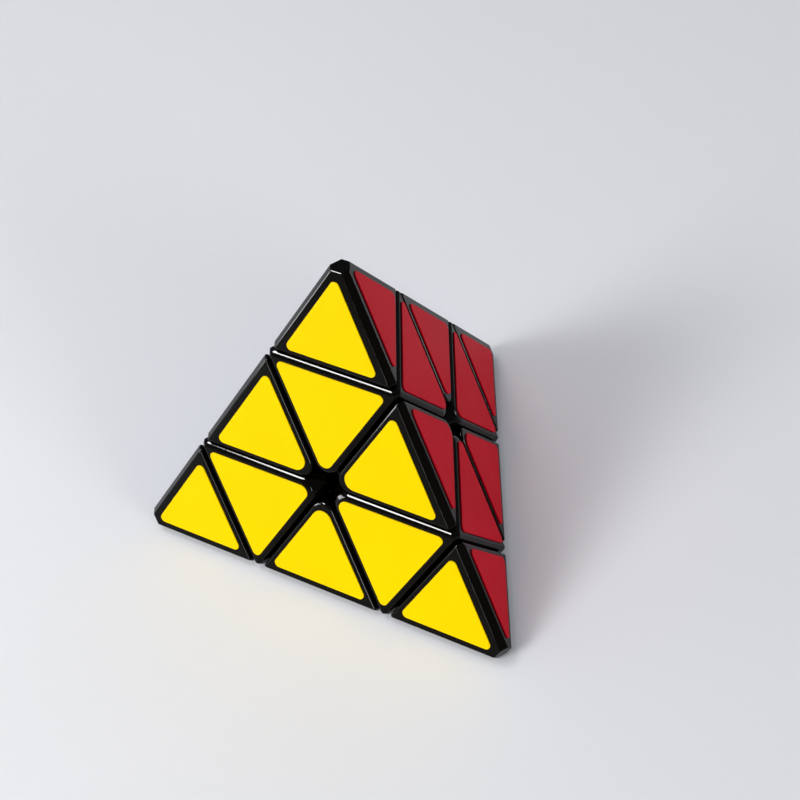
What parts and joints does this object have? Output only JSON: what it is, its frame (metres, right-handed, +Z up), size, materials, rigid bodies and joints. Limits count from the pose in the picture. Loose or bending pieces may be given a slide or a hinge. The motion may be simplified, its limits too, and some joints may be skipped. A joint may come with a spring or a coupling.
{
  "type": "pyramid twisty puzzle",
  "caption": "Tetrahedral twisty puzzle whose tips and corner layers turn about four axes, with coloured stickers on glossy black pieces.",
  "frame": {"origin": "middle of the core, where the four turning axes cross", "axes": "+Z up through the top tip; -Y towards the yellow face; +X to the right of it, so the puzzle rests on its green face"},
  "size_m": [0.091, 0.0797, 0.075],
  "materials": {
    "black_plastic": "polished black moulding",
    "core_plastic": "plain moulding",
    "steel": "zinc-plated",
    "yellow_sticker": "smooth vinyl",
    "red_sticker": "smooth vinyl",
    "blue_sticker": "smooth vinyl",
    "green_sticker": "smooth vinyl"
  },
  "bodies": {
    "core": {"core": "core_plastic", "screw_top": "steel", "screw_left": "steel", "screw_right": "steel", "screw_back": "steel", "spring_top": "steel", "spring_left": "steel", "spring_right": "steel", "spring_back": "steel"},
    "layer_top": {"centre_top": "black_plastic", "sticker_yellow_centre_top": "yellow_sticker", "sticker_red_centre_top": "red_sticker", "sticker_blue_centre_top": "blue_sticker"},
    "tip_top": {"tip_top": "black_plastic", "sticker_yellow_tip_top": "yellow_sticker", "sticker_red_tip_top": "red_sticker", "sticker_blue_tip_top": "blue_sticker"},
    "layer_left": {"centre_left": "black_plastic", "sticker_yellow_centre_left": "yellow_sticker", "sticker_blue_centre_left": "blue_sticker", "sticker_green_centre_left": "green_sticker"},
    "tip_left": {"tip_left": "black_plastic", "sticker_yellow_tip_left": "yellow_sticker", "sticker_blue_tip_left": "blue_sticker", "sticker_green_tip_left": "green_sticker"},
    "layer_right": {"centre_right": "black_plastic", "sticker_yellow_centre_right": "yellow_sticker", "sticker_red_centre_right": "red_sticker", "sticker_green_centre_right": "green_sticker"},
    "tip_right": {"tip_right": "black_plastic", "sticker_yellow_tip_right": "yellow_sticker", "sticker_red_tip_right": "red_sticker", "sticker_green_tip_right": "green_sticker"},
    "layer_back": {"centre_back": "black_plastic", "sticker_red_centre_back": "red_sticker", "sticker_blue_centre_back": "blue_sticker", "sticker_green_centre_back": "green_sticker"},
    "tip_back": {"tip_back": "black_plastic", "sticker_red_tip_back": "red_sticker", "sticker_blue_tip_back": "blue_sticker", "sticker_green_tip_back": "green_sticker"},
    "edge_top_left": {"edge_top_left": "black_plastic", "sticker_yellow_edge_top_left": "yellow_sticker", "sticker_blue_edge_top_left": "blue_sticker"},
    "edge_top_right": {"edge_top_right": "black_plastic", "sticker_yellow_edge_top_right": "yellow_sticker", "sticker_red_edge_top_right": "red_sticker"},
    "edge_top_back": {"edge_top_back": "black_plastic", "sticker_red_edge_top_back": "red_sticker", "sticker_blue_edge_top_back": "blue_sticker"},
    "edge_left_right": {"edge_left_right": "black_plastic", "sticker_yellow_edge_left_right": "yellow_sticker", "sticker_green_edge_left_right": "green_sticker"},
    "edge_right_back": {"edge_right_back": "black_plastic", "sticker_red_edge_right_back": "red_sticker", "sticker_green_edge_right_back": "green_sticker"},
    "edge_left_back": {"edge_left_back": "black_plastic", "sticker_blue_edge_left_back": "blue_sticker", "sticker_green_edge_left_back": "green_sticker"}
  },
  "joints": [
    {"name": "layer_top", "type": "hinge", "parent": "core", "child": "layer_top", "pos_m": [0, 0, 0], "axis": [0, 0, 1], "range_deg": [-240, 120]},
    {"name": "layer_left", "type": "hinge", "parent": "core", "child": "layer_left", "pos_m": [0, 0, 0], "axis": [-0.8165, -0.4714, -0.3333], "range_deg": [-240, 120]},
    {"name": "layer_right", "type": "hinge", "parent": "core", "child": "layer_right", "pos_m": [0, 0, 0], "axis": [0.8165, -0.4714, -0.3333], "range_deg": [-240, 120]},
    {"name": "layer_back", "type": "hinge", "parent": "core", "child": "layer_back", "pos_m": [0, 0, 0], "axis": [0, 0.9428, -0.3333], "range_deg": [-240, 120]},
    {"name": "tip_top", "type": "hinge", "parent": "layer_top", "child": "tip_top", "pos_m": [0, 0, 0], "axis": [0, 0, 1], "continuous": true},
    {"name": "tip_left", "type": "hinge", "parent": "layer_left", "child": "tip_left", "pos_m": [0, 0, 0], "axis": [-0.8165, -0.4714, -0.3333], "continuous": true},
    {"name": "tip_right", "type": "hinge", "parent": "layer_right", "child": "tip_right", "pos_m": [0, 0, 0], "axis": [0.8165, -0.4714, -0.3333], "continuous": true},
    {"name": "tip_back", "type": "hinge", "parent": "layer_back", "child": "tip_back", "pos_m": [0, 0, 0], "axis": [0, 0.9428, -0.3333], "continuous": true},
    {"name": "edge_top_left", "type": "hinge", "parent": "layer_top", "child": "edge_top_left", "pos_m": [0, 0, 0], "axis": [-0.8165, -0.4714, -0.3333], "range_deg": [-240, 120]},
    {"name": "edge_top_right", "type": "hinge", "parent": "layer_top", "child": "edge_top_right", "pos_m": [0, 0, 0], "axis": [0.8165, -0.4714, -0.3333], "range_deg": [-240, 120]},
    {"name": "edge_top_back", "type": "hinge", "parent": "layer_top", "child": "edge_top_back", "pos_m": [0, 0, 0], "axis": [0, 0.9428, -0.3333], "range_deg": [-240, 120]},
    {"name": "edge_left_right", "type": "hinge", "parent": "layer_left", "child": "edge_left_right", "pos_m": [0, 0, 0], "axis": [0.8165, -0.4714, -0.3333], "range_deg": [-240, 120]},
    {"name": "edge_right_back", "type": "hinge", "parent": "layer_right", "child": "edge_right_back", "pos_m": [0, 0, 0], "axis": [0, 0.9428, -0.3333], "range_deg": [-240, 120]},
    {"name": "edge_left_back", "type": "hinge", "parent": "layer_back", "child": "edge_left_back", "pos_m": [0, 0, 0], "axis": [-0.8165, -0.4714, -0.3333], "range_deg": [-240, 120]}
  ],
  "couplings": [
    {"joint": "edge_top_left", "follows": "layer_left", "ratio": 1},
    {"joint": "edge_top_right", "follows": "layer_right", "ratio": 1},
    {"joint": "edge_top_back", "follows": "layer_back", "ratio": 1},
    {"joint": "edge_left_right", "follows": "layer_right", "ratio": 1},
    {"joint": "edge_right_back", "follows": "layer_back", "ratio": 1},
    {"joint": "edge_left_back", "follows": "layer_left", "ratio": 1}
  ]
}
